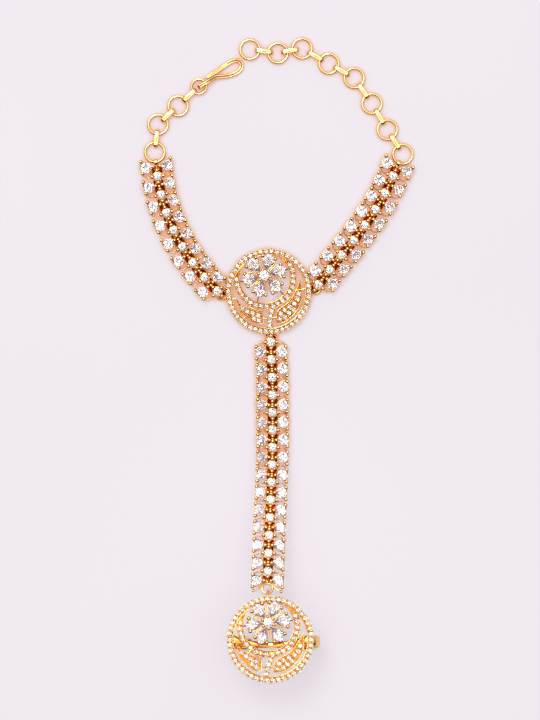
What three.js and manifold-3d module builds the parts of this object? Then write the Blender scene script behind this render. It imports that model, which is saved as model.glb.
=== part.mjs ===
// A hand harness: a wrist bracelet of stone-set links, a strap of the same links that runs
// over the back of the hand, and a finger ring with a matching medallion. It lies open on a
// flat surface at z = 0, with its hook beside the last ring of the chain.
// Millimetres, +Z up, +X to the right, +Y from the finger ring towards the bracelet.

import * as THREE from 'three';
import { mergeVertices } from 'three/addons/utils/BufferGeometryUtils.js';
import Module from 'manifold-3d';

const wasm = await Module();
wasm.setup();

// ---------------------------------------------------------------- driving dimensions

const LINK = {
  pitchArm: 5.28, // one stone link to the next where the bracelet is pulled straight
  hingeShare: 0.63, // how far along a pitch the hinge to the next link sits
  girdle: 2.0, // height of the stones' widest level
  top: 2.55, // height of the stones' flat tops
  crown: 0.62, // size of a stone's flat top against its widest level
  foot: 0.72, // size of a setting's foot against its widest level
  roundRadius: 1.5,
  roundFoot: 0.6,
  sideTip: { along: 2.75, across: 0.75 },
  sideCornerNear: { along: 1.0, across: 4.4 },
  sideCornerFar: { along: 4.5, across: 4.4 },
  sideBulge: 0.45, // how far the long sides of a side stone curve out
  sideBulgeOuter: 0.15,
  sideCornerCut: 0.16, // share of each side that a rounded corner takes
  bridgeHeight: 0.8,
};

const EYE = { radius: 1.45, wire: 0.33, height: 0.95 };
const LUG = { inner: 0.56, outer: 0.84, width: 0.9 };

const PLATE = { low: 1.6, high: 2.4 }; // the medallion's pierced, paved plate
const RIM = { inner: 10.2, outer: 12.0, sides: 36 };
const GALLERY = { inner: 10.8, outer: 11.6, height: 0.35, posts: 10, postSide: 0.7 };
const MOON = { x: -1.04, y: 3.72, radius: 7.95, width: 1.6, sides: 30 };
const FLOWER = {
  x: -1.23, y: 4.48, petals: 6, firstPetal: 15, petalStart: 1.8, petalEnd: 6.3, petalWidth: 3.6,
  roundRadius: 1.35, armEnd: 8.2, seatLow: 0.9, seatHigh: 2.3, stoneLow: 2.6, stoneGirdle: 3.1, stoneTop: 3.7,
};

const CHAIN_RING = { outer: 6.2, wire: 0.77 };
const CLASP_RING = { outer: 4.8, wire: 0.7 };
const JUMP_RING = { outer: 4.5, wire: 0.45, x: -0.15, y: -84.9, z: 10.3 };
const CONNECTOR = { length: 5.1, height: 1.7, thickness: 0.32, width: 1.1 };
const RING_HEIGHT = 0.885; // the chain rings ride on the connectors' lower ribbons
const END_REACH = 4.14; // from an arm's last round stone to the wire of its end ring

const MEDALLION_EYE = 13.1; // radius at which the bracelet's eyes sit round the wrist medallion
const STRAP_EYE = 13.44;

// ---------------------------------------------------------------- solids and outlines

const radians = THREE.MathUtils.degToRad;
const polar = (radius, angle) => new THREE.Vector2(Math.cos(angle) * radius, Math.sin(angle) * radius);

function signedVolume(position, index) {
  const a = new THREE.Vector3();
  const b = new THREE.Vector3();
  const c = new THREE.Vector3();
  let volume = 0;
  for (let i = 0; i < index.length; i += 3) {
    a.fromBufferAttribute(position, index[i]);
    b.fromBufferAttribute(position, index[i + 1]);
    c.fromBufferAttribute(position, index[i + 2]);
    volume += a.dot(b.cross(c)) / 6;
  }
  return volume;
}

// A closed geometry as a solid whose faces point out.
function toSolid(geometry) {
  const bare = geometry.clone();
  bare.deleteAttribute('normal');
  bare.deleteAttribute('uv');
  const merged = mergeVertices(bare, 1e-4);
  const source = merged.index.array;
  const corners = [];
  for (let i = 0; i < source.length; i += 3) {
    const [a, b, c] = [source[i], source[i + 1], source[i + 2]];
    if (a !== b && b !== c && a !== c) corners.push(a, b, c);
  }
  if (signedVolume(merged.attributes.position, corners) < 0) corners.reverse();
  return new wasm.Manifold(new wasm.Mesh({
    numProp: 3,
    vertProperties: new Float32Array(merged.attributes.position.array),
    triVerts: new Uint32Array(corners),
  }));
}

function toGeometry(solid) {
  const mesh = solid.getMesh();
  const geometry = new THREE.BufferGeometry();
  geometry.setAttribute('position', new THREE.BufferAttribute(new Float32Array(mesh.vertProperties), 3));
  geometry.setIndex(new THREE.BufferAttribute(new Uint32Array(mesh.triVerts), 1));
  return geometry;
}

const union = (geometries) => geometries.map(toSolid).reduce((sum, solid) => sum.add(solid));
const fuse = (geometries) => toGeometry(union(geometries));

// An outline drawn up through levels, each with its own height and its own scale about a centre.
function stack(outline, centre, levels) {
  const steps = levels.length - 1;
  const geometry = new THREE.ExtrudeGeometry(new THREE.Shape(outline), {
    depth: steps, steps, bevelEnabled: false,
  });
  const position = geometry.attributes.position;
  for (let i = 0; i < position.count; i += 1) {
    const level = levels[Math.round(position.getZ(i))];
    const x = centre.x + (position.getX(i) - centre.x) * level.scale;
    const y = centre.y + (position.getY(i) - centre.y) * level.scale;
    position.setXYZ(i, x, y, level.z);
  }
  return geometry;
}

function slab(shape, low, high, curveSegments = 6) {
  const geometry = new THREE.ExtrudeGeometry(shape, { depth: high - low, bevelEnabled: false, curveSegments });
  return geometry.translate(0, 0, low);
}

function circle(x, y, radius, sides) {
  const points = [];
  for (let i = 0; i < sides; i += 1) {
    points.push(polar(radius, (2 * Math.PI * i) / sides).add(new THREE.Vector2(x, y)));
  }
  return points;
}

function annulus(x, y, inner, outer, low, high, sides) {
  const shape = new THREE.Shape(circle(x, y, outer, sides));
  shape.holes.push(new THREE.Path(circle(x, y, inner, sides)));
  return slab(shape, low, high);
}

// A bar of one width from a to b, lying level between two heights.
function bar(a, b, width, low, high) {
  const side = new THREE.Vector2().subVectors(b, a).normalize().rotateAround(new THREE.Vector2(), Math.PI / 2);
  side.multiplyScalar(width / 2);
  const corners = [a.clone().add(side), a.clone().sub(side), b.clone().sub(side), b.clone().add(side)];
  return slab(new THREE.Shape(corners), low, high);
}

// A drop outline: its point at the start, its round end at the finish, along +X.
function dropOutline(start, end, width, roundSides) {
  const radius = width / 2;
  const centre = end - radius;
  const touch = Math.acos(radius / (centre - start));
  const points = [new THREE.Vector2(start, 0)];
  for (let i = 0; i <= roundSides; i += 1) {
    const angle = -Math.PI + touch + (2 * (Math.PI - touch) * i) / roundSides;
    points.push(polar(radius, angle).add(new THREE.Vector2(centre, 0)));
  }
  return points;
}

// A short tube round a wire: its axis is level and square to the direction in the plan.
function sleeve(x, y, z, angle, inner, outer, width) {
  const shape = new THREE.Shape(circle(0, 0, outer, 12));
  shape.holes.push(new THREE.Path(circle(0, 0, inner, 12)));
  const geometry = slab(shape, -width / 2, width / 2);
  return geometry.rotateX(Math.PI / 2).rotateZ(angle).translate(x, y, z);
}

function ringSolid(outer, wire, tubeSides = 6, ringSides = 14) {
  return new THREE.TorusGeometry((outer - wire) / 2, wire / 2, tubeSides, ringSides);
}

// ---------------------------------------------------------------- stone-set links

// A side stone is a triangle with bulging sides and rounded corners, its tip towards the middle.
function sideOutline(hand) {
  const corner = (place) => new THREE.Vector2(place.along, place.across * hand);
  const corners = [corner(LINK.sideTip), corner(LINK.sideCornerNear), corner(LINK.sideCornerFar)];
  const bulges = [LINK.sideBulge, LINK.sideBulgeOuter, LINK.sideBulge];
  const points = [];
  corners.forEach((from, i) => {
    const to = corners[(i + 1) % corners.length];
    const out = new THREE.Vector2().subVectors(to, from).normalize();
    out.rotateAround(new THREE.Vector2(), (Math.PI / 2) * hand).multiplyScalar(bulges[i]);
    for (const share of [LINK.sideCornerCut, 0.5, 1 - LINK.sideCornerCut]) {
      const rise = share === 0.5 ? 1 : 0.6;
      points.push(new THREE.Vector2().lerpVectors(from, to, share).addScaledVector(out, rise));
    }
  });
  return hand > 0 ? points.reverse() : points;
}

const SETTING_LEVELS = [
  { z: 0, scale: LINK.foot },
  { z: LINK.girdle, scale: 1 },
  { z: LINK.top, scale: LINK.crown },
];

// The link's own frame: x runs away from the wrist medallion, the round stone at the origin.
function linkGeometries() {
  const roundLevels = SETTING_LEVELS.map((level) => ({ ...level }));
  roundLevels[0].scale = LINK.roundFoot;
  const pieces = [stack(circle(0, 0, LINK.roundRadius, 8), new THREE.Vector2(), roundLevels)];
  for (const hand of [1, -1]) {
    const middle = new THREE.Vector2(LINK.sideTip.along, 3.0 * hand);
    pieces.push(stack(sideOutline(hand), middle, SETTING_LEVELS));
    pieces.push(bar(new THREE.Vector2(), middle, 0.7, 0, LINK.bridgeHeight));
  }
  return pieces;
}

function eyeGeometry(along, across) {
  return ringSolid(2 * (EYE.radius + EYE.wire), 2 * EYE.wire).translate(along, across, EYE.height);
}

// The loop at an arm's end, closed round the wire of the chain's end ring.
function endLoopGeometries() {
  const neckEnd = END_REACH - LUG.inner - 0.1;
  return [
    sleeve(END_REACH, 0, RING_HEIGHT, 0, LUG.inner, LUG.outer, LUG.width),
    bar(new THREE.Vector2(1.6, 0), new THREE.Vector2(neckEnd, 0), LUG.width, 0.3, 1.1),
    bar(new THREE.Vector2(1.9, -1.6), new THREE.Vector2(1.9, 1.6), 0.7, 0, LINK.bridgeHeight),
  ];
}

// Places of the links of a chain: each hinge turns the run to the next link's heading.
function linkPlaces(start, headings, pitch) {
  const places = [];
  const at = start.clone();
  headings.forEach((heading, i) => {
    places.push({ x: at.x, y: at.y, heading: radians(heading) });
    const next = headings[Math.min(i + 1, headings.length - 1)];
    at.add(polar(pitch * LINK.hingeShare, radians(heading)));
    at.add(polar(pitch * (1 - LINK.hingeShare), radians(next)));
  });
  return places;
}

// ---------------------------------------------------------------- medallions

// A leaf of the medallion: one spline out along its upper edge and one back along its lower edge.
const LEAVES = [
  {
    upper: [[-9.3, -1.4], [-6.9, -4.0], [-4.2, -5.35], [-1.9, -5.8]],
    lower: [[-1.9, -8.6], [-5.3, -7.95], [-7.2, -6.5], [-8.6, -3.9]],
  },
  {
    upper: [[8.7, 3.2], [7.2, -1.0], [4.0, -4.15], [2.0, -6.9]],
    lower: [[2.2, -8.5], [5.7, -7.5], [8.6, -3.8], [9.3, 0.8]],
  },
];
const STEM = [[1.6, -3.9], [0.9, -5.9], [0.5, -7.6], [0.4, -10.5]];
const STEM_WIDTH = 1.3;

const TIE_BARS = [
  { from: [-9.2, -1.6], to: [-10.6, -2.7], width: 0.7 },
  { from: [9.0, 0.4], to: [10.6, 0.9], width: 0.7 },
  { from: [-6.4, -7.0], to: [-7.4, -8.1], width: 0.7 },
  { from: [5.1, -7.6], to: [5.9, -9.3], width: 0.7 },
  { from: [-5.5, -4.9], to: [-4.7, -3.6], width: 0.7 },
  { from: [-2.1, -7.5], to: [0.5, -7.5], width: 0.5 },
  { from: [0.5, -7.2], to: [2.3, -7.2], width: 0.5 },
  { from: [7.9, 0.0], to: [6.4, 0.5], width: 0.7 },
];

const vectors = (rows) => rows.map(([x, y]) => new THREE.Vector2(x, y));

function leafGeometry({ upper, lower }) {
  const edge = (rows) => new THREE.SplineCurve(vectors(rows)).getPoints(rows.length + 1);
  return slab(new THREE.Shape([...edge(upper), ...edge(lower)]), PLATE.low, PLATE.high);
}

function flowerGeometries() {
  const centre = new THREE.Vector2(FLOWER.x, FLOWER.y);
  const pieces = [slab(new THREE.Shape(circle(FLOWER.x, FLOWER.y, 1.6, 8)), FLOWER.seatLow, FLOWER.seatHigh)];
  for (let i = 0; i < FLOWER.petals; i += 1) {
    const angle = radians(FLOWER.firstPetal + i * 60);
    const outline = dropOutline(FLOWER.petalStart - 0.6, FLOWER.petalEnd - 0.3, FLOWER.petalWidth - 0.5, 5);
    const seat = slab(new THREE.Shape(outline), FLOWER.seatLow, FLOWER.seatHigh);
    pieces.push(seat.rotateZ(angle).translate(FLOWER.x, FLOWER.y, 0));
    const inside = polar(FLOWER.petalStart, angle).add(centre);
    const outside = polar(FLOWER.armEnd, angle).add(centre);
    pieces.push(bar(inside, outside, 0.5, FLOWER.seatLow, PLATE.high - 0.3));
  }
  return pieces;
}

function postAngles() {
  return Array.from({ length: GALLERY.posts }, (_, i) => radians(18 + (360 / GALLERY.posts) * i));
}

// The pierced medallion: rim, inner ring, leaves, stem and flower seat over a gallery ring on posts,
// all kept within the rim. Its back is flat, at z = 0.
function medallionSolid(lugs) {
  const plate = [
    annulus(0, 0, RIM.inner, RIM.outer, PLATE.low, PLATE.high, RIM.sides),
    ...LEAVES.map(leafGeometry),
    ...STEM.slice(1).map((to, i) => bar(...vectors([STEM[i], to]), STEM_WIDTH, PLATE.low, PLATE.high)),
    ...TIE_BARS.map(({ from, to, width }) => bar(...vectors([from, to]), width, PLATE.low, PLATE.high - 0.2)),
    ...flowerGeometries(),
  ];
  const inner = MOON.radius - MOON.width / 2;
  const outer = MOON.radius + MOON.width / 2;
  plate.push(annulus(MOON.x, MOON.y, inner, outer, PLATE.low, PLATE.high, MOON.sides));
  const disc = toSolid(slab(new THREE.Shape(circle(0, 0, RIM.outer, RIM.sides)), 0, PLATE.high + 1));
  const gallery = [annulus(0, 0, GALLERY.inner, GALLERY.outer, 0, GALLERY.height, 28)];
  const middle = (GALLERY.inner + GALLERY.outer) / 2;
  for (const angle of postAngles()) {
    const half = GALLERY.postSide / 2;
    gallery.push(bar(polar(middle - half, angle), polar(middle + half, angle), GALLERY.postSide, 0.1, PLATE.low + 0.2));
  }
  const sleeves = lugs.map(({ radius, angle }) => {
    const at = polar(radius, angle);
    return sleeve(at.x, at.y, EYE.height, angle, LUG.inner, LUG.outer, LUG.width);
  });
  const body = union([...plate, ...gallery]).intersect(disc);
  return sleeves.map(toSolid).reduce((sum, lug) => sum.add(lug), body);
}

function stoneGeometry(outline, centre) {
  return stack(outline, centre, [
    { z: FLOWER.stoneLow, scale: 0.72 },
    { z: FLOWER.stoneGirdle, scale: 1 },
    { z: FLOWER.stoneTop, scale: 0.62 },
  ]);
}

// The finger band: a flat strip bent into an open oval under the finger medallion.
const BAND = { width: 3.0, thickness: 0.9 };
const BAND_COURSE = [
  [-5.4, -12.5], [-8.6, -11.9], [-10.8, -9.8], [-11.5, -6.2], [-11.5, -2.8], [-11.3, -0.9], [-10.4, -0.2],
  [-4, -0.2], [4, -0.2],
  [9.6, -0.2], [11.3, -0.3], [13.0, -2.2], [13.4, -6.0], [12.4, -9.6], [10.0, -11.9], [6.8, -12.5],
];

function bandGeometry() {
  const course = new THREE.CatmullRomCurve3(BAND_COURSE.map(([x, z]) => new THREE.Vector3(x, 0, z)));
  const [half, rise] = [BAND.width / 2, BAND.thickness / 2];
  const section = new THREE.Shape(vectors([[-half, -rise], [half, -rise], [half, rise], [-half, rise]]));
  return new THREE.ExtrudeGeometry(section, { steps: 34, bevelEnabled: false, extrudePath: course });
}

// ---------------------------------------------------------------- chain and hook

// A flat ribbon bent into a long loop along x, standing on edge.
function ribbonLoop(length, height, thickness, width) {
  const half = height / 2;
  const reach = length / 2 - half;
  const outline = (radius) => {
    const path = [];
    for (const [x, from] of [[reach, -90], [-reach, 90]]) {
      for (let i = 0; i <= 4; i += 1) {
        path.push(polar(radius, radians(from + 45 * i)).add(new THREE.Vector2(x, 0)));
      }
    }
    return path;
  };
  const shape = new THREE.Shape(outline(half));
  shape.holes.push(new THREE.Path(outline(half - thickness)));
  return slab(shape, -width / 2, width / 2).rotateX(Math.PI / 2);
}

// A connector stands on the surface, one end through each of two rings.
function connectorGeometry() {
  const { length, height, thickness, width } = CONNECTOR;
  return ribbonLoop(length, height, thickness, width).translate(0, 0, height / 2);
}

// The hook's wire is doubled: out along one side, round the wide end and back along the other.
// Its frame: x from the clasp ring to the wide end, the clasp ring's wire at the origin.
const HOOK_COURSE = [
  [0.9, 0, 0.3], [2.2, 0.05, 0.2], [3.6, 0.0, -0.1], [6.0, -1.05, -0.45], [8.5, -1.65, -0.6],
  [10.6, -1.3, -0.65], [11.45, 0.0, -0.65], [10.85, 1.3, -0.6], [9.2, 1.75, -0.5], [6.8, 1.6, -0.3],
  [4.3, 1.4, 0.0], [1.7, 1.4, 0.4],
];
const HOOK = { width: 1.05, height: 0.6, steps: 30, loopLength: 3.7, loopHeight: 1.7, loopReach: 0.95 };

function hookGeometry() {
  const course = new THREE.CatmullRomCurve3(HOOK_COURSE.map(([x, y, z]) => new THREE.Vector3(x, y, z)));
  const [half, rise] = [HOOK.width / 2, HOOK.height / 2];
  const section = new THREE.Shape(vectors([
    [-rise, -half + 0.2], [0, -half], [rise, -half + 0.2], [rise, half - 0.2], [0, half], [-rise, half - 0.2],
  ]));
  const wire = new THREE.ExtrudeGeometry(section, { steps: HOOK.steps, bevelEnabled: false, extrudePath: course });
  const loop = ribbonLoop(HOOK.loopLength, HOOK.loopHeight, CONNECTOR.thickness, HOOK.width);
  return fuse([wire, loop.translate(HOOK.loopReach - HOOK.loopLength / 2, 0, 0)]);
}

// ---------------------------------------------------------------- assembly

const GOLD = new THREE.MeshStandardMaterial({ name: 'gold', color: 0xe6b450, roughness: 0.22, metalness: 1 });
const STONE = new THREE.MeshStandardMaterial({ name: 'stone', color: 0xf3f1f6, roughness: 0.05, metalness: 0 });

const harness = new THREE.Group();

function addPiece(parent, name, geometry, material) {
  const mesh = new THREE.Mesh(geometry, material);
  mesh.name = name;
  parent.add(mesh);
  return mesh;
}

function addFlowerStones(parent, prefix) {
  const centre = new THREE.Vector2();
  for (let i = 0; i < FLOWER.petals; i += 1) {
    const outline = dropOutline(FLOWER.petalStart, FLOWER.petalEnd, FLOWER.petalWidth, 6);
    const middle = new THREE.Vector2(FLOWER.petalEnd - FLOWER.petalWidth / 2, 0);
    const petal = addPiece(parent, `${prefix}_petal_stone_${i + 1}`, fuse([stoneGeometry(outline, middle)]), STONE);
    petal.position.set(FLOWER.x, FLOWER.y, 0);
    petal.rotation.z = radians(FLOWER.firstPetal + i * 60);
  }
  const round = fuse([stoneGeometry(circle(0, 0, FLOWER.roundRadius, 8), centre)]);
  addPiece(parent, `${prefix}_centre_stone`, round, STONE).position.set(FLOWER.x, FLOWER.y, 0);
}

// The wrist medallion lies flat, with a lug under its rim for each of the three eyes.
const EYES = {
  left: { radius: MEDALLION_EYE, angle: radians(183) },
  right: { radius: MEDALLION_EYE, angle: radians(4) },
  strap: { radius: STRAP_EYE, angle: radians(-86.3) },
};
const lugs = Object.values(EYES).map(({ radius, angle }) => ({ radius: radius - EYE.radius, angle }));
addPiece(harness, 'wrist_medallion', toGeometry(medallionSolid(lugs)), GOLD);
addFlowerStones(harness, 'wrist');

// An eye's place in the frame of the link that carries it.
function eyeInLink(eye, place) {
  const at = polar(eye.radius, eye.angle).sub(new THREE.Vector2(place.x, place.y));
  return at.rotateAround(new THREE.Vector2(), -place.heading);
}

// The bracelet's arms: eight links each, joined along their thread in one solid.
function addArm(name, start, headings, eye) {
  const places = linkPlaces(start, headings, LINK.pitchArm);
  const last = places.length - 1;
  const solids = places.map((place, i) => {
    const pieces = linkGeometries();
    if (i === 0) {
      const at = eyeInLink(eye, place);
      pieces.push(eyeGeometry(at.x, at.y));
    }
    if (i < last) {
      pieces.push(bar(new THREE.Vector2(0.5, 0), new THREE.Vector2(LINK.pitchArm, 0), 0.8, 0, 0.6));
    } else {
      pieces.push(...endLoopGeometries());
    }
    const move = new THREE.Matrix4().makeRotationZ(place.heading).setPosition(place.x, place.y, 0);
    return union(pieces.map((piece) => piece.applyMatrix4(move)));
  });
  addPiece(harness, name, toGeometry(solids.reduce((sum, solid) => sum.add(solid))), GOLD);
  return places[last];
}

const leftEnd = addArm(
  'left_arm_links', new THREE.Vector2(-14.31, -0.06), [135, 129, 126, 120, 114, 109, 103, 97], EYES.left,
);
const rightEnd = addArm(
  'right_arm_links', new THREE.Vector2(13.83, 1.76), [54, 51, 50, 53, 54, 58, 64, 66], EYES.right,
);

// The finger ring leans back towards the strap and stands on the ends of its open band.
const FINGER_RING = { x: 0.48, y: -96.5, lean: radians(-10), turn: radians(-8) };
const fingerRing = new THREE.Group();
fingerRing.position.set(FINGER_RING.x, FINGER_RING.y, 0);
fingerRing.rotation.x = FINGER_RING.lean;
const turned = new THREE.Group();
turned.rotation.z = FINGER_RING.turn;
const fingerMetal = medallionSolid([]).add(toSolid(bandGeometry().rotateZ(-FINGER_RING.turn)));
addPiece(turned, 'finger_ring', toGeometry(fingerMetal), GOLD);
addFlowerStones(turned, 'finger');
fingerRing.add(turned);
harness.add(fingerRing);
harness.updateMatrixWorld(true);
fingerRing.position.z = -new THREE.Box3().setFromObject(fingerRing, true).min.z;

// The strap: flat beside the wrist medallion, then climbing in a slack curve to the finger ring.
const STRAP = {
  x: 0.62, y: -14.14, links: 14, pitch: 4.94, liftFrom: -32, liftTo: -83, lift: 9.6,
  headings: [-89, -87, -88, -91, -89, -90, -91, -92, -92, -93, -93, -92, -92, -92],
};
const liftShare = (y) => Math.max(0, (STRAP.liftFrom - y) / (STRAP.liftFrom - STRAP.liftTo));
const liftAt = (y) => STRAP.lift * liftShare(y) ** 2;

const strapPlaces = linkPlaces(new THREE.Vector2(STRAP.x, STRAP.y), STRAP.headings, STRAP.pitch);
strapPlaces.forEach((place, i) => {
  const pieces = linkGeometries();
  if (i === 0) {
    const at = eyeInLink(EYES.strap, place);
    pieces.push(eyeGeometry(at.x, at.y));
  }
  if (i === STRAP.links - 1) {
    pieces.push(eyeGeometry(4.6, 0));
    pieces.push(bar(new THREE.Vector2(1.9, -1.6), new THREE.Vector2(1.9, 1.6), 0.7, 0, LINK.bridgeHeight));
    pieces.push(bar(new THREE.Vector2(1.8, 0), new THREE.Vector2(3.3, 0), 0.9, 0.2, 1.2));
  }
  const number = String(i + 1).padStart(2, '0');
  const link = addPiece(harness, `strap_link_${number}`, fuse(pieces), GOLD);
  const ahead = liftAt(place.y - STRAP.pitch / 2) - liftAt(place.y + STRAP.pitch / 2);
  link.position.set(place.x, place.y, liftAt(place.y));
  link.rotation.set(0, -Math.atan2(ahead, STRAP.pitch), place.heading, 'ZYX');
});

// The jump ring stands upright through the strap's last eye and round the finger ring's gallery.
const jumpRing = addPiece(harness, 'strap_jump_ring', fuse([ringSolid(JUMP_RING.outer, JUMP_RING.wire)]), GOLD);
jumpRing.rotation.set(0, Math.PI / 2, 0);
jumpRing.position.set(JUMP_RING.x, JUMP_RING.y, JUMP_RING.z);

// Chain rings lie level on the connectors' lower ribbons; each row leads to the next ring.
const ringRadius = (CHAIN_RING.outer - CHAIN_RING.wire) / 2;
const claspRadius = (CLASP_RING.outer - CLASP_RING.wire) / 2;
const RIGHT_CHAIN = [
  { heading: 122, pitch: 8.1 }, { heading: 120.6, pitch: 8.5 }, { heading: 124.6, pitch: 8.7 },
  { heading: 150.5, pitch: 8.15 }, { heading: 150.5, pitch: 8.6 }, { heading: 190.7, pitch: 6.9 },
  { heading: 172.5, pitch: 7.9 },
];
const LEFT_CHAIN = [
  { heading: 83.4, pitch: 7.8 }, { heading: 42.6, pitch: 7.65 }, { heading: 43.2, pitch: 7.95 },
];

function addRing(name, at, size) {
  const ring = addPiece(harness, name, fuse([ringSolid(size.outer, size.wire)]), GOLD);
  ring.position.set(at.x, at.y, RING_HEIGHT);
  return ring;
}

function addChain(side, end, rows, claspAtEnd) {
  const at = new THREE.Vector2(end.x, end.y).add(polar(END_REACH + ringRadius, end.heading));
  addRing(`${side}_chain_ring_1`, at, CHAIN_RING);
  rows.forEach(({ heading, pitch }, i) => {
    const clasp = claspAtEnd && i === rows.length - 1;
    const angle = radians(heading);
    const nearWire = ringRadius;
    const farWire = pitch - (clasp ? claspRadius : ringRadius);
    const middle = polar((nearWire + farWire) / 2, angle).add(at);
    const connector = addPiece(harness, `${side}_connector_${i + 1}`, fuse([connectorGeometry()]), GOLD);
    connector.position.set(middle.x, middle.y, 0);
    connector.rotation.z = angle;
    at.add(polar(pitch, angle));
    if (!clasp) addRing(`${side}_chain_ring_${i + 2}`, at, CHAIN_RING);
  });
  return at;
}

addChain('right', rightEnd, RIGHT_CHAIN, false);
const claspAt = addChain('left', leftEnd, LEFT_CHAIN, true);

// The clasp ring rises a little towards the hook, whose long loop closes over its wire.
const CLASP = { direction: radians(26), hookHeading: radians(29.5), rise: 0.3 };
const claspRing = addRing('clasp_ring', claspAt, CLASP_RING);
const claspTilt = Math.asin(CLASP.rise / (2 * claspRadius));
claspRing.position.z = RING_HEIGHT + CLASP.rise / 2;
claspRing.rotation.set(0, -claspTilt, CLASP.direction, 'ZYX');
const hook = addPiece(harness, 'hook', hookGeometry(), GOLD);
const hookAt = polar(claspRadius, CLASP.direction).add(claspAt);
hook.position.set(hookAt.x, hookAt.y, RING_HEIGHT + CLASP.rise);
hook.rotation.z = CLASP.hookHeading;

// The origin is at the middle of the object's base.
harness.updateMatrixWorld(true);
const bounds = new THREE.Box3().setFromObject(harness, true);
const middle = bounds.getCenter(new THREE.Vector3());
harness.position.set(-middle.x, -middle.y, -bounds.min.z);

export default harness;
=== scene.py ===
# The looks of the hand harness: set stones, pavé, prongs, rings and hook in polished gold,
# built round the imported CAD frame. Shapes are worked out in millimetres in the harness's own
# frame (wrist medallion at the origin, +Y towards the bracelet's chain) and made in metres.

from math import acos, asin, atan2, ceil, copysign, cos, hypot, pi, radians, sin

import bpy
from mathutils import Matrix, Vector


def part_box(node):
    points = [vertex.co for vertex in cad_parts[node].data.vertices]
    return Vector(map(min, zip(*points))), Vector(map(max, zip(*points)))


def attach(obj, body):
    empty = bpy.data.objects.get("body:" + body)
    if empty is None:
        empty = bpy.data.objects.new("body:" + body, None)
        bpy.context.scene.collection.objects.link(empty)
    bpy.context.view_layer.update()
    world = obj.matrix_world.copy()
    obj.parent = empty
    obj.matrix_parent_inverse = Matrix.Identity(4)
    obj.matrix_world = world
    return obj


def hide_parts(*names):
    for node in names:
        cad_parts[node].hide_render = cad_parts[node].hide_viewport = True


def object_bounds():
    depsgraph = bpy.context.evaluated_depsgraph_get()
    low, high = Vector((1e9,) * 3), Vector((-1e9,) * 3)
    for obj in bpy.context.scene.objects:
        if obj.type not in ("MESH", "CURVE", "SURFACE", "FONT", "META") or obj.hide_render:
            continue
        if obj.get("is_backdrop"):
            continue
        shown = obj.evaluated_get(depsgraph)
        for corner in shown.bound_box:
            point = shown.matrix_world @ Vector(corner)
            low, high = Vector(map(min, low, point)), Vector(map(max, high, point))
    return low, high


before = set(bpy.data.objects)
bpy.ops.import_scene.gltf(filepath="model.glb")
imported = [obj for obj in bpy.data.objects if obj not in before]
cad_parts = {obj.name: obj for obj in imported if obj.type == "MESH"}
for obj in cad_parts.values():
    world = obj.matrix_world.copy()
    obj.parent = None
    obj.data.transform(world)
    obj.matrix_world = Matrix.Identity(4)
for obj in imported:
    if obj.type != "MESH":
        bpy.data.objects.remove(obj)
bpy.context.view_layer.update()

MM = 0.001

# ---------------------------------------------------------------- driving dimensions, in mm

LINK_PITCH = {"arm": 5.28, "strap": 4.94}
HINGE_SHARE = 0.63  # how far along a pitch the hinge to the next link sits
HINGE_BALL = (2.54, 0)  # a ball in the gap between one round stone and the next
HINGE = {"height": 0.55, "radius": 0.42, "pin": 0.17, "width": 0.7, "side_width": 0.45}

ROUND = {"radius": 1.22, "girdle": 2.12, "crown": 0.42, "depth": 1.12, "table": 0.56}
SIDE = {"girdle": 1.98, "crown": 0.5, "depth": 1.45, "table": 0.5}
SIDE_CORNERS = ((2.72, 0.42), (0.52, 4.44), (4.92, 4.44))  # tip, then the two outer ones
SIDE_CORNER_RADIUS = 0.6
SIDE_BULGES = (0.3, 0.06, 0.3)
SIDE_MIDDLE = (2.72, 3.1)
PRONG = {"ball": 0.57, "wire": 0.28, "foot": 0.18, "height": 2.46}
ROUND_SEAT = (  # the rail under a round stone
    (1.62, 0), (0.92, 0.92), (0, 1.5), (-0.92, 0.92), (-1.62, 0), (-0.92, -0.92), (0, -1.5), (0.92, -0.92),
)
ROUND_PRONGS = ((1.72, 0), (0, 1.58), (-1.72, 0), (0, -1.58))
SIDE_PRONGS = ((2.8, 0.98), (1.24, 4.14), (4.6, 4.14))
RAIL = {"width": 0.22, "high": (1.2, 1.92), "low": (0.05, 0.42)}
RIB = ((0.72, 4.05), (0.05, 3.0), (0.3, 1.7))  # the wire between one side stone and the next
# The section of each side of the thread's channel, and where its two stretches start and stop.
TROUGH = ((0.3, 0.1), (1.35, 1.15), (1.35, 0.95), (0.42, 0.02))
TROUGH_RUNS = ((1.0, 2.5), (-2.1, -1.0))

EYE = {"radius": 1.45, "wire": 0.33, "height": 0.95}
BRACE = ((5.5, 3.9), (5.15, 2.9), (4.1, 1.7), (3.1, 0.8))  # beside the eye at the strap's far end
LUG = {"inner": 0.56, "outer": 0.84, "width": 0.9}

RIM = {"inner": 10.2, "outer": 12.0, "stones": 46, "stone_circle": 11.2}
RIM_BEADS = ((11.8, 2.25, 0.3), (10.62, 2.42, 0.19))  # circle, height and radius of each
PLATE = {"low": 1.5, "floor": 1.86, "edge": 2.55, "top": 2.4}
PAVE = {"radius": 0.56, "girdle": 2.38, "crown": 0.22, "depth": 0.53, "table": 0.55}
CUP = {"gap": 0.1, "wall": 0.16}  # the metal round each paved stone
LEAN = {"side": 4, "pave": 15}  # the most that a stone leans, in degrees
GRAIN = {"step": 0.42, "radius": 0.2}  # the raised ground of the leaves
GALLERY = {"inner": 10.8, "outer": 11.6, "height": 0.35, "posts": 10, "first": 18, "post_side": 0.7}
MOON = {"x": -1.04, "y": 3.72, "radius": 7.9, "stones": 19, "first": -177.4, "step": 11.4, "crossing": 9}
MOON_WALLS = ((7.06, 0.24, 2.6), (8.68, 0.16, 2.3))  # radius, width and height of each
MOON_BARS = ((7.5, 36, 54), (7.45, 154, 171))  # the gold ends of the crescent: radius, start and stop
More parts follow.
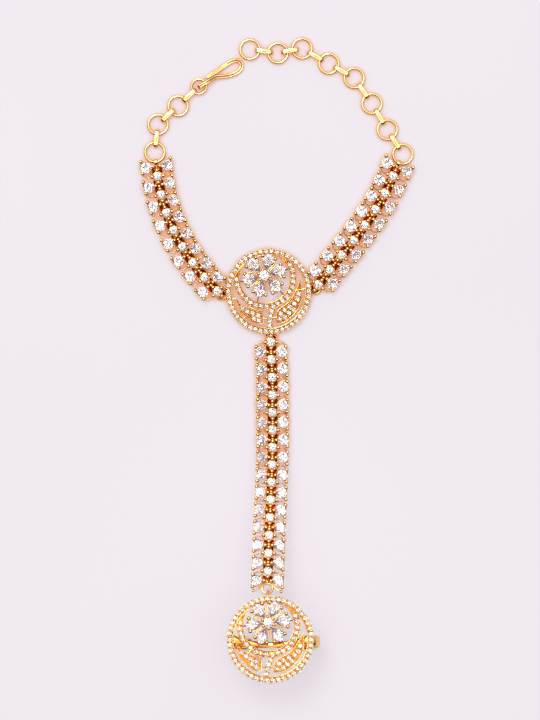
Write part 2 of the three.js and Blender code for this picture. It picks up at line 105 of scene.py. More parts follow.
MOON_BAR = {"height": 2.3, "beads": 7}
FLOWER = {"x": -1.23, "y": 4.48, "petals": 6, "first": 15, "start": 1.75, "end": 6.2, "width": 3.8}
PETAL_STEP = 360 / FLOWER["petals"]
PETAL = {"girdle": 3.05, "crown": 0.5, "depth": 1.62, "table": 0.5}
CENTRE = {"radius": 1.36, "girdle": 3.15, "crown": 0.45, "depth": 1.2, "table": 0.56}

LEAVES = (
    {
        "upper": ((-9.6, -1.3), (-8.1, -3.3), (-6.3, -4.5), (-4.6, -5.15), (-3.0, -5.7), (-1.7, -5.95)),
        "lower": ((-1.3, -8.6), (-2.6, -9.0), (-4.6, -8.4), (-6.1, -7.2), (-7.6, -6.0), (-8.5, -4.1)),
        "stones": (
            (-7.36, -4.7), (-5.95, -5.6), (-4.45, -6.1), (-2.95, -6.7),
            (-4.1, -7.6), (-2.75, -8.1),
        ),
        "beads": (
            (-8.6, -2.7), (-8.25, -3.45), (-7.85, -5.75), (-6.6, -6.6),
            (-5.4, -7.0), (-1.95, -6.5), (-1.75, -7.3), (-4.9, -5.3),
        ),
    },
    {
        "upper": ((8.75, 3.2), (8.2, 1.4), (7.3, -0.4), (6.1, -2.3), (4.9, -3.6), (3.3, -4.7), (2.2, -6.0)),
        "lower": ((2.0, -8.7), (3.9, -8.7), (5.9, -7.4), (7.7, -5.6), (8.8, -3.4), (9.3, -1.2), (9.2, 1.0)),
        "stones": (
            (8.4, -0.65), (8.05, -2.15), (7.2, -3.45), (5.85, -4.3), (4.45, -5.2), (3.35, -6.3),
            (6.95, -5.15), (5.7, -6.1), (4.6, -7.2), (3.15, -7.75),
        ),
        "beads": (
            (8.75, 2.0), (8.55, 1.2), (8.4, 0.4), (9.05, -1.5), (8.8, -2.8), (8.1, -4.1),
            (7.75, -1.2), (7.2, -2.3), (2.55, -7.1), (2.4, -8.4), (6.4, -7.0), (5.5, -7.7),
        ),
    },
)
CRESCENT = ((-5.5, -4.15), (-4.9, -4.6), (-3.7, -5.1), (-2.5, -5.4), (-1.4, -5.55))
STEM = ((1.6, -3.9), (0.95, -5.6), (0.45, -7.1), (0.3, -10.4))
STEM_STONES = ((1.25, -4.25), (0.85, -5.6), (0.5, -6.95), (0.33, -8.3), (0.28, -9.6))
STEM_WIDTH = 1.34
TIES = (
    ((-9.4, -1.9), (-10.2, -2.25)), ((7.5, 0.3), (10.3, 0.8)), ((-6.5, -7.1), (-7.05, -7.6)),
    ((5.2, -8.1), (5.55, -8.7)), ((-5.6, -4.7), (-5.0, -3.7)), ((-1.6, -7.6), (-0.4, -7.6)),
    ((1.1, -7.35), (2.2, -7.2)),
)

CHAIN_RING = {"outer": 6.2, "wire": 0.77}
CLASP_RING = {"outer": 4.8, "wire": 0.7}
JUMP_RING = {"outer": 4.5, "wire": 0.45, "x": -0.15, "y": -84.9, "z": 10.3}
CONNECTOR = {"length": 5.1, "height": 1.7, "thickness": 0.32, "width": 1.1}
RIBBON_ARCH = 0.05  # how far a ribbon's top swells
RING_HEIGHT = 0.885
END_REACH = 4.14

# ---------------------------------------------------------------- layout, as in the CAD model

EYES = {"left": (13.1, 183), "right": (13.1, 4), "strap": (13.44, -86.3)}  # radius, direction
ARMS = {
    "left": {"start": (-14.31, -0.06), "headings": (135, 129, 126, 120, 114, 109, 103, 97)},
    "right": {"start": (13.83, 1.76), "headings": (54, 51, 50, 53, 54, 58, 64, 66)},
}
STRAP = {
    "start": (0.62, -14.14),
    "headings": (-89, -87, -88, -91, -89, -90, -91, -92, -92, -93, -93, -92, -92, -92),
    "lift_from": -32, "lift_to": -83, "lift": 9.6, "last_eye": 4.6,
}
FINGER = {"x": 0.48, "y": -96.5, "lean": -10, "turn": -8}
BAND = {"width": 3.0, "thickness": 0.9, "bow": 1.3, "waist": 0.45, "half": 10.4}
BAND_COURSE = (
    (-5.4, -12.5), (-8.6, -11.9), (-10.8, -9.8), (-11.5, -6.2), (-11.5, -2.8),
    (-11.3, -0.9), (-10.4, -0.2), (-4, -0.2), (4, -0.2),
    (9.6, -0.2), (11.3, -0.3), (13.0, -2.2), (13.4, -6.0), (12.4, -9.6), (10.0, -11.9), (6.8, -12.5),
)
CHAINS = {  # heading and pitch to the next ring
    "right": (
        (122, 8.1), (120.6, 8.5), (124.6, 8.7), (150.5, 8.15), (150.5, 8.6), (190.7, 6.9), (172.5, 7.9),
    ),
    "left": ((83.4, 7.8), (42.6, 7.65), (43.2, 7.95)),
}
CLASP = {"direction": 26, "hook_heading": 29.5, "rise": 0.3}
HOOK_COURSE = (
    (-1.5, 0, 0.72), (-0.2, 0, 0.84), (1.0, 0.02, 0.72), (2.2, 0.05, 0.36),
    (3.6, 0.0, -0.05), (6.0, -1.05, -0.45), (8.5, -1.65, -0.6),
    (10.6, -1.3, -0.65), (11.45, 0.0, -0.65), (10.85, 1.3, -0.6), (9.2, 1.75, -0.5), (6.8, 1.6, -0.3),
    (4.4, 1.3, 0.0), (2.7, 1.22, 0.2), (1.1, 1.15, 0.35),
)
HOOK_WIRE = 0.56
HOOK_LOOP = {"length": 3.4, "height": 1.7, "reach": 0.95}


def polar(radius, degrees):
    return Vector((radius * cos(radians(degrees)), radius * sin(radians(degrees)), 0))


def flat(rows):
    return [Vector((x, y, 0)) for x, y in rows]


def turned(at, degrees=0.0):
    """A place in the plan: turned about z, then moved."""
    return Matrix.Translation(at) @ Matrix.Rotation(radians(degrees), 4, "Z")


# ---------------------------------------------------------------- shapes

class Form:
    """Points in millimetres and faces, gathered from many small shapes."""

    def __init__(self, points=(), faces=()):
        self.points = list(points)
        self.faces = list(faces)

    def add(self, other, place=None):
        base = len(self.points)
        self.points += [place @ p for p in other.points] if place else other.points
        self.faces += [tuple(base + i for i in face) for face in other.faces]
        return self


def loft(rings, closed=False):
    """A skin over rings of points, each ring anticlockwise about the way the rings run."""
    count = len(rings[0])
    faces = []
    for i in range(len(rings) if closed else len(rings) - 1):
        near = i * count
        far = (i + 1) % len(rings) * count
        for j in range(count):
            k = (j + 1) % count
            faces.append((near + j, near + k, far + k, far + j))
    if not closed:
        faces.append(tuple(reversed(range(count))))
        faces.append(tuple(range((len(rings) - 1) * count, len(rings) * count)))
    return Form((p for ring in rings for p in ring), faces)


def lathe(profile, sides):
    """A turned solid; rows of radius and height from the foot up, the first and last on the axis."""
    body = profile[1:-1]
    points = [Vector((0, 0, profile[0][1]))]
    for radius, height in body:
        points += [polar(radius, 360 * j / sides) + Vector((0, 0, height)) for j in range(sides)]
    points.append(Vector((0, 0, profile[-1][1])))
    last = len(points) - 1
    faces = []
    for j in range(sides):
        k = (j + 1) % sides
        faces.append((0, 1 + k, 1 + j))
        for i in range(len(body) - 1):
            low = 1 + i * sides
            faces.append((low + j, low + k, low + sides + k, low + sides + j))
        faces.append((last - sides + j, last - sides + k, last))
    return Form(points, faces)


def ball(radius, rows=8, sides=12):
    angles = [-pi / 2 + pi * i / rows for i in range(rows + 1)]
    return lathe([(radius * cos(a), radius * sin(a)) for a in angles], sides)


def along(course, closed):
    """The direction of travel at each point of a course."""
    count = len(course)
    ways = []
    for i in range(count):
        before = course[i - 1] if closed or i > 0 else course[i]
        after = course[(i + 1) % count] if closed or i < count - 1 else course[i]
        ways.append((after - before).normalized())
    return ways


def sweep(course, section, closed=False, up=Vector((0, 0, 1)), scales=None):
    """A section carried along a course. Section rows are left of the course and up from it."""
    rings = []
    for i, (at, way) in enumerate(zip(course, along(course, closed))):
        left = up.cross(way).normalized()
        rise = way.cross(left)
        scale = scales[i] if scales else 1.0
        rings.append([at + left * (u * scale) + rise * (w * scale) for u, w in section])
    return loft(rings, closed)


def oval(width, height, sides=12):
    return [(width / 2 * cos(2 * pi * i / sides), height / 2 * sin(2 * pi * i / sides)) for i in range(sides)]


def soft_box(width, low, high, corner, steps=3):
    """A section with rounded corners, from low to high."""
    points = []
    for u, w, start in ((1, 1, 0), (-1, 1, 90), (-1, -1, 180), (1, -1, 270)):
        middle_u = u * (width / 2 - corner)
        middle_w = (high - corner) if w > 0 else (low + corner)
        for i in range(steps):
            angle = radians(start + 90 * i / (steps - 1))
            points.append((middle_u + corner * cos(angle), middle_w + corner * sin(angle)))
    return points


def crowned(width, height, sides):
    """A section with full faces and rounded edges."""
    points = []
    for i in range(sides):
        u, w = polar(1, 360 * i / sides).xy
        points.append((copysign(abs(u) ** 0.77, u) * width / 2, copysign(abs(w) ** 0.77, w) * height / 2))
    return points


def circle_course(radius, sides, x=0.0, y=0.0, start=0.0, stop=360.0):
    whole = stop - start >= 360
    steps = sides if whole else max(4, ceil(sides * (stop - start) / 360))
    count = steps if whole else steps + 1
    return [Vector((x, y, 0)) + polar(radius, start + (stop - start) * i / steps) for i in range(count)]


def band_ring(radius, width, low, high, sides, x=0.0, y=0.0, corner=0.07):
    """A flat ring with softened edges."""
    return sweep(circle_course(radius, sides, x, y), soft_box(width, low, high, corner, 4), closed=True)


def torus(outer, wire, sides=20, steps=72):
    return sweep(circle_course((outer - wire) / 2, steps), oval(wire, wire, sides), closed=True)


def spline(rows, steps, closed=False):
    """A smooth curve through rows of two or three numbers, at z = 0 if there are two."""
    knots = [Vector((*row, 0)[:3]) for row in rows]
    count = len(knots)
    course = []
    for i in range(count if closed else count - 1):
        a = knots[i - 1] if closed or i > 0 else 2 * knots[0] - knots[1]
        b = knots[i]
        c = knots[(i + 1) % count]
        d = knots[(i + 2) % count] if closed or i < count - 2 else 2 * knots[-1] - knots[-2]
        for j in range(steps):
            t = j / steps
            square = (2 * a - 5 * b + 4 * c - d) * t ** 2
            cube = (3 * b - a - 3 * c + d) * t ** 3
            course.append(0.5 * (2 * b + (c - a) * t + square + cube))
    if not closed:
        course.append(knots[-1])
    return course


def slab(outline, low, high, edge=0.06):
    """A filled outline, anticlockwise, with a softened top and bottom edge."""
    middle = sum(outline, Vector()) / len(outline)
    rings = []
    for height, inset in ((low, edge), (low + edge, 0), (high - edge, 0), (high, edge)):
        ring = []
        for point in outline:
            inwards = (middle - point).normalized() * inset
            ring.append(point + inwards + Vector((0, 0, height)))
        rings.append(ring)
    return loft(rings)


def bar(start, stop, width, low, high):
    """A level bar with softened edges."""
    return sweep([start, (start + stop) / 2, stop], soft_box(width, low, high, min(width, high - low) * 0.25))


def sleeve(inner, outer, width, sides=24):
    """A short tube whose axis is y."""
    section = soft_box(width, inner, outer, min(0.08, (outer - inner) / 3))
    rings = []
    for i in range(sides):
        angle = 2 * pi * i / sides
        rings.append([Vector((w * cos(angle), u, w * sin(angle))) for u, w in section])
    return loft(rings, closed=True)


def turn_outline(points, middle):
    """The same points, anticlockwise."""
    area = 0.0
    for a, b in zip(points, points[1:] + points[:1]):
        area += (a - middle).cross(b - middle).z
    return points if area > 0 else points[::-1]


def soft_triangle(corners, radius, bulges):
    """A triangle with round corners and bulging sides: three points a corner and three a side."""
    corners = flat(corners)
    middle = sum(corners, Vector()) / 3
    arcs = []
    for i, corner in enumerate(corners):
        back = (corners[i - 1] - corner).normalized()
        ahead = (corners[(i + 1) % 3] - corner).normalized()
        inwards = (back + ahead).normalized()
        half = acos(max(-1.0, min(1.0, back.dot(ahead)))) / 2
        centre = corner + inwards * (radius / sin(half))
        arc = []
        for share in (-1, 0, 1):
            lean = share * (pi / 2 - half) * (1 if back.cross(ahead).z < 0 else -1)
            out = Matrix.Rotation(lean, 3, "Z") @ -inwards
            arc.append(centre + out * radius)
        arcs.append(arc)
    points = []
    for i, arc in enumerate(arcs):
        start = arc[2]
        stop = arcs[(i + 1) % 3][0]
        out = (start + stop) / 2 - middle
        out -= (stop - start).normalized() * out.dot((stop - start).normalized())
        points += arc
        for share in (0.25, 0.5, 0.75):
            bulge = bulges[i] * (1 - (2 * share - 1) ** 2)
            points.append(start.lerp(stop, share) + out.normalized() * bulge)
    return turn_outline(points, middle)


def drop_outline(start, end, width, sides):
    """A drop along x: a point at the start and a round end, whose sides are a little full."""
    radius = width / 2
    centre = end - radius
    points = []
    for i in range(sides):
        angle = 2 * pi * i / sides
        x = centre + radius * cos(angle)
        y = radius * sin(angle)
        if cos(angle) < 0:
            taper = abs(abs(angle - pi) - pi / 2) / (pi / 2)
            x = centre - (centre - start) * taper
            y = radius * (1 - taper) * (1 + 0.4 * taper) * (1 if angle < pi else -1)
        points.append(Vector((x, y, 0)))
    return points


def cut_stone(outline, girdle, crown, depth, table):
    """A brilliant cut on any outline of an even number of points.

    Table, stars, kites and girdle facets lie above; main and girdle facets below.
    """
    count = len(outline)
    half = count // 2
    middle = sum(outline, Vector()) / count

    def ring(points, scale, height):
        return [middle + (p - middle) * scale + Vector((0, 0, height)) for p in points]

    mains = outline[0::2]
    betweens = outline[1::2]
    points = ring(mains, table, girdle + crown)
    points += ring(betweens, (1 + table) / 2 + 0.04, girdle + crown * 0.52)
    points += ring(outline, 1, girdle + 0.03)
    points += ring(outline, 1, girdle - 0.05)
    points += ring(betweens, 0.42, girdle - depth * 0.66)
    points.append(middle + Vector((0, 0, girdle - depth)))
    star, edge, foot, low, culet = half, count, 2 * count, 3 * count, 3 * count + half
    faces = [tuple(range(half))]
    for k in range(half):
        n = (k + 1) % half
        b = (k - 1) % half
        own, between, following = 2 * k, 2 * k + 1, (2 * k + 2) % count
        faces.append((k, star + k, n))
        faces.append((k, star + b, edge + own, star + k))
        faces.append((star + k, edge + own, edge + between))
        faces.append((star + k, edge + between, edge + following))
        faces.append((foot + own, low + k, foot + between))
        faces.append((foot + between, low + k, foot + following))
        faces.append((foot + own, low + b, culet, low + k))
    for j in range(count):
        n = (j + 1) % count
        faces.append((edge + j, foot + j, foot + n, edge + n))
    return Form(points, faces)


def round_stone(sizes, sides=16):
    return cut_stone(
        circle_course(sizes["radius"], sides), sizes["girdle"], sizes["crown"], sizes["depth"], sizes["table"]
    )


def leaning(count, middle, most):
    """A small lean about a stone's middle, different for each count and the same each run."""
    lean = radians(most * (0.3 + 0.7 * (count * 7 % 5) / 4))
    tilt = Matrix.Rotation(lean, 4, polar(1, 137.5 * count))
    return Matrix.Translation(middle) @ tilt @ Matrix.Translation(-Vector(middle))


def prong(at, middle, height, foot_share=0.72, foot_height=0.1, ball_radius=PRONG["ball"]):
    """A claw: a wire that leans out from the foot and ends in a ball over the stone's edge."""
    top = Vector((*at, height))
    foot = Vector((*middle, 0)).lerp(Vector((*at, 0)), foot_share) + Vector((0, 0, foot_height))
    shape = Form()
    rings = []
    for share in (0, 0.5, 1):
        radius = PRONG["foot"] + (PRONG["wire"] - PRONG["foot"]) * share
        at_share = foot.lerp(top, share)
        rings.append([at_share + polar(radius, 45 * j) for j in range(8)])
    shape.add(loft(rings))
    return shape.add(ball(ball_radius), Matrix.Translation(top))


# ---------------------------------------------------------------- stone-set links

def side_middle(hand, height=0.0):
    return Vector((SIDE_MIDDLE[0], SIDE_MIDDLE[1] * hand, height))


def side_outline(hand, grow=0.0):
    corners = [(x, y * hand) for x, y in SIDE_CORNERS]
    outline = soft_triangle(corners, SIDE_CORNER_RADIUS, SIDE_BULGES)
    middle = side_middle(hand)
    return [p + (p - middle).normalized() * grow for p in outline]


def rail(outline, low, high, width=RAIL["width"]):
    return sweep(outline, soft_box(width, low, high, 0.08), closed=True)


def shrunk(outline, middle, share):
    return [middle + (p - middle) * share for p in outline]


def link_metal():
    """One link's setting: two rails under each stone, prongs, bridges, ribs and the thread's channel."""
    metal = Form()
    metal.add(rail(flat(ROUND_SEAT), 1.2, 1.85, 0.3))
    metal.add(rail(circle_course(0.95, 16), *RAIL["low"]))
    for at in ROUND_PRONGS:
        metal.add(prong(at, (0, 0), PRONG["height"], 0.55))
    for hand in (1, -1):
        middle = side_middle(hand)
        outline = side_outline(hand)
        metal.add(rail(shrunk(outline, middle, 0.95), *RAIL["high"]))
        metal.add(rail(shrunk(outline, middle, 0.78), *RAIL["low"]))
        for x, y in SIDE_PRONGS:
            metal.add(prong((x, y * hand), (middle.x, middle.y), PRONG["height"] - 0.06, 0.8))
        inner = Vector((0.6, 0.6 * hand, 0))
        metal.add(bar(inner, Vector((2.3, 2.2 * hand, 0)), 0.5, 0.12, 0.6))
        strut = [Vector((0.5, 1.2 * hand, 1.2)), Vector((1.5, 2.4 * hand, 1.2))]
        metal.add(sweep(strut, oval(0.26, 0.3)))
        rib = spline([(x, y * hand) for x, y in RIB], 4)
        metal.add(sweep(rib, oval(0.34, 0.42)), Matrix.Translation((0, 0, 1.05)))
        section = [(u * hand, w) for u, w in TROUGH][::hand]
        for start, stop in TROUGH_RUNS:
            metal.add(sweep([Vector((start, 0, 0)), Vector((stop, 0, 0))], section))
    return metal


def hinge_ahead(pitch):
    """The knuckle on this link's far side, with the pin through it."""
    place = Matrix.Translation((pitch * HINGE_SHARE, 0, HINGE["height"]))
    metal = Form().add(sleeve(HINGE["pin"] + 0.03, HINGE["radius"], HINGE["width"]), place)
    pin = sweep([Vector((0, -0.85, 0)), Vector((0, 0.85, 0))], oval(2 * HINGE["pin"], 2 * HINGE["pin"], 10))
    metal.add(pin, place)
    metal.add(bar(Vector((0.8, 0, 0)), Vector((pitch * HINGE_SHARE - 0.3, 0, 0)), 0.5, 0.35, 0.75))
    return metal.add(prong(HINGE_BALL, HINGE_BALL, 2.05, 0.5))


def hinge_behind(pitch):
    """The two knuckles on this link's near side."""
    metal = Form()
    back = -pitch * (1 - HINGE_SHARE)
    for hand in (1, -1):
        across = hand * (HINGE["width"] + HINGE["side_width"] + 0.1) / 2
        place = Matrix.Translation((back, across, HINGE["height"]))
        metal.add(sleeve(HINGE["pin"] + 0.03, HINGE["radius"], HINGE["side_width"]), place)
        metal.add(bar(Vector((back + 0.3, across, 0)), Vector((-0.8, across, 0)), 0.4, 0.35, 0.75))
    return metal


def side_stones(count):
    stones = Form()
    for hand in (1, -1):
        outline = side_outline(hand, -0.06)
        stone = cut_stone(outline, SIDE["girdle"], SIDE["crown"], SIDE["depth"], SIDE["table"])
        middle = side_middle(hand, SIDE["girdle"])
        stones.add(stone, leaning(2 * count + hand, middle, LEAN["side"]))
    return stones


def eye(x, y):
    ring = torus(2 * (EYE["radius"] + EYE["wire"]), 2 * EYE["wire"], 12, 40)
    return Form().add(ring, Matrix.Translation((x, y, EYE["height"])))


def end_loop():
    """The loop at an arm's end, closed round the wire of the chain's end ring."""
    metal = Form()
    place = Matrix.Translation((END_REACH, 0, RING_HEIGHT))
    metal.add(sleeve(LUG["inner"], LUG["outer"], LUG["width"]), place)
    stop = Vector((END_REACH - LUG["inner"] - 0.1, 0, 0))
    metal.add(bar(Vector((0.9, 0, 0)), stop, LUG["width"], 0.4, 1.1))
    return metal.add(bar(Vector((2.1, -1.9, 0)), Vector((2.1, 1.9, 0)), 0.5, 0.1, 0.7))


def link_places(start, headings, pitch):
    places = []
    at = Vector((*start, 0))
    for i, heading in enumerate(headings):
        places.append((at.copy(), heading))
        following = headings[min(i + 1, len(headings) - 1)]
        at += polar(pitch * HINGE_SHARE, heading) + polar(pitch * (1 - HINGE_SHARE), following)
    return places


def eye_in_link(name, at, heading):
    radius, direction = EYES[name]
    return Matrix.Rotation(-radians(heading), 3, "Z") @ (polar(radius, direction) - at)


def started_link(name, number, at, heading, pitch):
    """A link's metal, with its near hinge, or the eye if it is the first of its run."""
    if number > 0:
        return link_metal().add(hinge_behind(pitch))
    where = eye_in_link(name, at, heading)
    return link_metal().add(eye(where.x, where.y))


# ---------------------------------------------------------------- medallions

def bead(x, y, z, radius):
    return Form().add(ball(radius, 6, 10), Matrix.Translation((x, y, z)))


def pave(metal, stones, x, y):
    """A small stone in its cup."""
    place = Matrix.Translation((x, y, 0))
    tilt = leaning(len(stones.points), (0, 0, PAVE["girdle"]), LEAN["pave"])
    stones.add(round_stone(PAVE, 12), place @ tilt)
    wall = PAVE["radius"] + CUP["gap"]
    metal.add(band_ring(wall, CUP["wall"], PLATE["floor"] - 0.1, PAVE["girdle"] - 0.02, 16), place)


def beads_between(metal, course, offset, radius, height):
    """Beads beside a row of stones, in the gaps between one stone and the next."""
    for a, b in zip(course, course[1:]):
        if (b - a).length < 2.2 * PAVE["radius"] + 0.9:
            middle = (a + b) / 2
            side = Vector((0, 0, 1)).cross(b - a).normalized() * offset
            for at in (middle + side, middle - side):
                metal.add(bead(at.x, at.y, height, radius))


def rim(metal, stones):
    middle = (RIM["inner"] + RIM["outer"]) / 2
    metal.add(band_ring(middle - 0.13, 1.1, PLATE["low"], PLATE["floor"], 96))
    metal.add(band_ring(RIM["inner"] + 0.14, 0.28, PLATE["low"] - 0.1, PLATE["edge"], 120, corner=0.135))
    step = 360 / RIM["stones"]
    for i in range(RIM["stones"]):
        at = polar(RIM["stone_circle"], step * i)
        pave(metal, stones, at.x, at.y)
        for circle, height, radius in RIM_BEADS:
            at = polar(circle, step * (i + 0.5))
            metal.add(bead(at.x, at.y, height, radius))


def within_rim(radius, limit):
    """The arc of a circle round the moon's centre that lies inside a circle round the medallion's."""
    offset = hypot(MOON["x"], MOON["y"])
    towards = atan2(MOON["y"], MOON["x"])
    half = acos((limit ** 2 - offset ** 2 - radius ** 2) / (2 * offset * radius))
    start = (towards + half) * 180 / pi
    stop = (towards - half) * 180 / pi + 360
    return start, stop


def moon(metal, stones):
    floor = ((MOON_WALLS[0][0] + MOON_WALLS[1][0]) / 2, MOON_WALLS[1][0] - MOON_WALLS[0][0], PLATE["floor"])
    for radius, width, top in (floor, *MOON_WALLS):
        start, stop = within_rim(radius, RIM["inner"] + 0.14)
        course = circle_course(radius, 110, MOON["x"], MOON["y"], start, stop)
        metal.add(sweep(course, soft_box(width, PLATE["low"], top, min(0.115, 0.48 * width), 4)))
    centre = Vector((MOON["x"], MOON["y"], 0))
    row = [centre + polar(MOON["radius"], MOON["first"] + MOON["step"] * i) for i in range(MOON["stones"])]
    for i, at in enumerate(row):
        if i != MOON["crossing"]:  # the stem's first stone lies here
            pave(metal, stones, at.x, at.y)
    beads_between(metal, row, 0.52, 0.19, 2.42)
    for radius, start, stop in MOON_BARS:
        course = circle_course(radius, 110, MOON["x"], MOON["y"], start, stop)
        widths = [0.35 + 0.65 * sin(pi * i / (len(course) - 1)) for i in range(len(course))]
        section = soft_box(0.85, PLATE["floor"] - MOON_BAR["height"], 0.1, 0.1)
        metal.add(sweep(course, section, scales=widths), Matrix.Translation((0, 0, MOON_BAR["height"])))
        for i in range(MOON_BAR["beads"]):
            at = centre + polar(radius, start + (stop - start) * (i + 0.5) / MOON_BAR["beads"])
            metal.add(bead(at.x, at.y, 2.32, 0.24))


def inside(outline, at):
    """Whether a place in the plan lies within an outline."""
    crossings = 0
    for a, b in zip(outline, outline[1:] + outline[:1]):
        if (a.y > at.y) != (b.y > at.y) and at.x < a.x + (b.x - a.x) * (at.y - a.y) / (b.y - a.y):
            crossings += 1
    return crossings % 2 == 1


def grain_places(outline, stones, beads):
    """Places of the ground's grains, in offset rows, clear of stones, beads and the edge."""
    step = GRAIN["step"]
    left = min(p.x for p in outline)
    low = min(p.y for p in outline)
    rows = ceil((max(p.y for p in outline) - low) / (step * 0.87))
    columns = ceil((max(p.x for p in outline) - left) / step)
    found = []
    for row in range(rows + 1):
        for column in range(columns + 1):
            at = Vector((left + step * (column + 0.5 * (row % 2)), low + step * 0.87 * row, 0))
            clear = all((at - stone).length > PAVE["radius"] + 0.2 for stone in stones)
            clear = clear and all((at - bead).length > 0.3 for bead in beads)
            if clear and inside(outline, at) and min((at - p).length for p in outline) > 0.22:
                found.append(at)
    return found


def leaf(metal, stones, shape):
    upper = spline(shape["upper"], 6)
    lower = spline(shape["lower"], 6)
    outline = turn_outline(upper + lower, sum(upper + lower, Vector()) / len(upper + lower))
    metal.add(slab(outline, PLATE["low"], PLATE["floor"]))
    wall = soft_box(0.22, PLATE["low"] - 0.05, PLATE["edge"] - 0.05, 0.105, 4)
    metal.add(sweep(outline, wall, closed=True))
    places = flat(shape["stones"])
    for at in places:
        pave(metal, stones, at.x, at.y)
    done = flat(shape["beads"])
    for i, a in enumerate(places):
        for b in places[i + 1:]:
            if (a - b).length < 2.1:
                middle = (a + b) / 2
                side = Vector((0, 0, 1)).cross(b - a).normalized() * 0.5
                for at in (middle + side, middle - side):
                    clear = all((at - other).length > 0.8 for other in places)
                    if clear and all((at - other).length > 0.34 for other in done):
                        done.append(at)
    for at in done:
        metal.add(bead(at.x, at.y, 2.38, 0.2))
    for at in grain_places(outline, places, done):
        metal.add(ball(GRAIN["radius"], 4, 8), Matrix.Translation(at + Vector((0, 0, PLATE["floor"] + 0.06))))


def stem(metal, stones):
    course = spline(STEM, 6)
    metal.add(sweep(course, soft_box(STEM_WIDTH, PLATE["low"], PLATE["floor"], 0.07)))
    for hand in (1, -1):
        edge = [p + Vector((0, 0, 1)).cross(w) * (hand * STEM_WIDTH / 2)
                for p, w in zip(course, along(course, False))]
        metal.add(sweep(edge, soft_box(0.2, PLATE["low"], PLATE["edge"] - 0.35, 0.095, 4)))
    row = flat(STEM_STONES)
    for at in row:
        pave(metal, stones, at.x, at.y)
    beads_between(metal, row, 0.5, 0.16, 2.4)


def flower(metal):
    place = Matrix.Translation((FLOWER["x"], FLOWER["y"], 0))
    outline = drop_outline(FLOWER["start"], FLOWER["end"], FLOWER["width"], 24)
    middle = Vector((FLOWER["end"] - FLOWER["width"] / 2, 0, 0))
    petal = Form()
    petal.add(rail(shrunk(outline, middle, 0.94), 2.35, 2.8, 0.2))
    petal.add(rail(shrunk(outline, middle, 0.78), 0.95, 1.3, 0.26))
    for hand in (1, -1):
        petal.add(prong((FLOWER["end"] - 1.0, 1.82 * hand), (middle.x, 0), 3.3, 0.75, 1.0, 0.54))
        flank = spline([(1.5, 0.5 * hand, 3.1), (3.4, 1.68 * hand, 3.05), (5.1, 1.95 * hand, 3.0)], 6)
        petal.add(sweep(flank, oval(0.3, 0.36)))
    for i in range(FLOWER["petals"]):
        angle = FLOWER["first"] + PETAL_STEP * i
        metal.add(petal, place @ turned(Vector(), angle))
        spoke = sweep([polar(1.0, angle), polar(8.0, angle)], oval(0.34, 0.6))
        metal.add(spoke, place @ Matrix.Translation((0, 0, 1.3)))
        at = polar(1.64, angle + PETAL_STEP / 2)
        metal.add(prong((at.x, at.y), (0, 0), 3.4, 0.8, 1.0, 0.46), place)
    metal.add(band_ring(1.4, 0.26, 2.2, 3.02, 24), place)
    metal.add(band_ring(1.1, 0.3, 0.95, 1.35, 24), place)


def gallery(metal):
    middle = (GALLERY["inner"] + GALLERY["outer"]) / 2
    metal.add(band_ring(middle, GALLERY["outer"] - GALLERY["inner"], 0, GALLERY["height"], 96))
    side = GALLERY["post_side"]
    for i in range(GALLERY["posts"]):
        angle = GALLERY["first"] + 360 / GALLERY["posts"] * i
        ends = [polar(middle + hand * side / 2, angle) for hand in (-1, 1)]
        metal.add(bar(*ends, side, 0.1, PLATE["low"] + 0.2))


def medallion():
    """The pierced, paved medallion's metal and its small stones."""
    metal = Form()
    stones = Form()
    gallery(metal)
    rim(metal, stones)
    moon(metal, stones)
    for shape in LEAVES:
        leaf(metal, stones, shape)
    stem(metal, stones)
    arc = spline(CRESCENT, 5)
    widths = [0.4 + 0.6 * sin(pi * i / (len(arc) - 1)) for i in range(len(arc))]
    metal.add(sweep(arc, soft_box(0.5, -0.5, 0.4, 0.24, 4), scales=widths), Matrix.Translation((0, 0, 2.15)))
    for a, b in map(flat, TIES):
        metal.add(sweep([a, (a + b) / 2, b], soft_box(0.46, PLATE["low"], PLATE["edge"] - 0.05, 0.22, 4)))
    flower(metal)
    return metal, stones


def petal_stone():
    outline = drop_outline(FLOWER["start"], FLOWER["end"], FLOWER["width"], 24)
    return cut_stone(outline, PETAL["girdle"], PETAL["crown"], PETAL["depth"], PETAL["table"])


def lug(name):
    radius, direction = EYES[name]
    at = polar(radius - EYE["radius"], direction) + Vector((0, 0, EYE["height"]))
    return Form().add(sleeve(LUG["inner"], LUG["outer"], LUG["width"]), turned(at, direction))


def band():
    """The open finger band; its top stretch, behind the medallion, is narrower and bowed."""
    course = []
    widths = []
    for p in spline(BAND_COURSE, 5):
        behind = p.y > -2 and abs(p.x) < BAND["half"]
        share = cos(pi / 2 * p.x / BAND["half"]) ** 0.7 if behind else 0.0
        course.append(Vector((p.x, -BAND["bow"] * share, p.y)))
        widths.append(1 - BAND["waist"] * share)
    section = crowned(BAND["thickness"], BAND["width"], 24)
    return sweep(course, section, up=Vector((0, 1, 0)), scales=widths)


# ---------------------------------------------------------------- chain and hook

def ribbon_loop(length, height, thickness, width):
    """A flat ribbon bent into a long loop along x, standing on edge."""
    half = (height - thickness) / 2
    reach = (length - height) / 2
    course = []
    for x, start in ((reach, -90), (-reach, 90)):
        for i in range(9):
            angle = radians(start + 22.5 * i)
            arch = RIBBON_ARCH * max(0.0, sin(angle))
            course.append(Vector((x + half * cos(angle), 0, half * sin(angle) + arch)))
        if x > 0:
            course.append(Vector((0, 0, half + 2 * RIBBON_ARCH)))
    section = soft_box(thickness, -width / 2, width / 2, 0.1)
    return sweep(course, section, closed=True, up=Vector((0, 1, 0)))


def connector():
    sizes = [CONNECTOR[key] for key in ("length", "height", "thickness", "width")]
    return Form().add(ribbon_loop(*sizes), Matrix.Translation((0, 0, CONNECTOR["height"] / 2)))


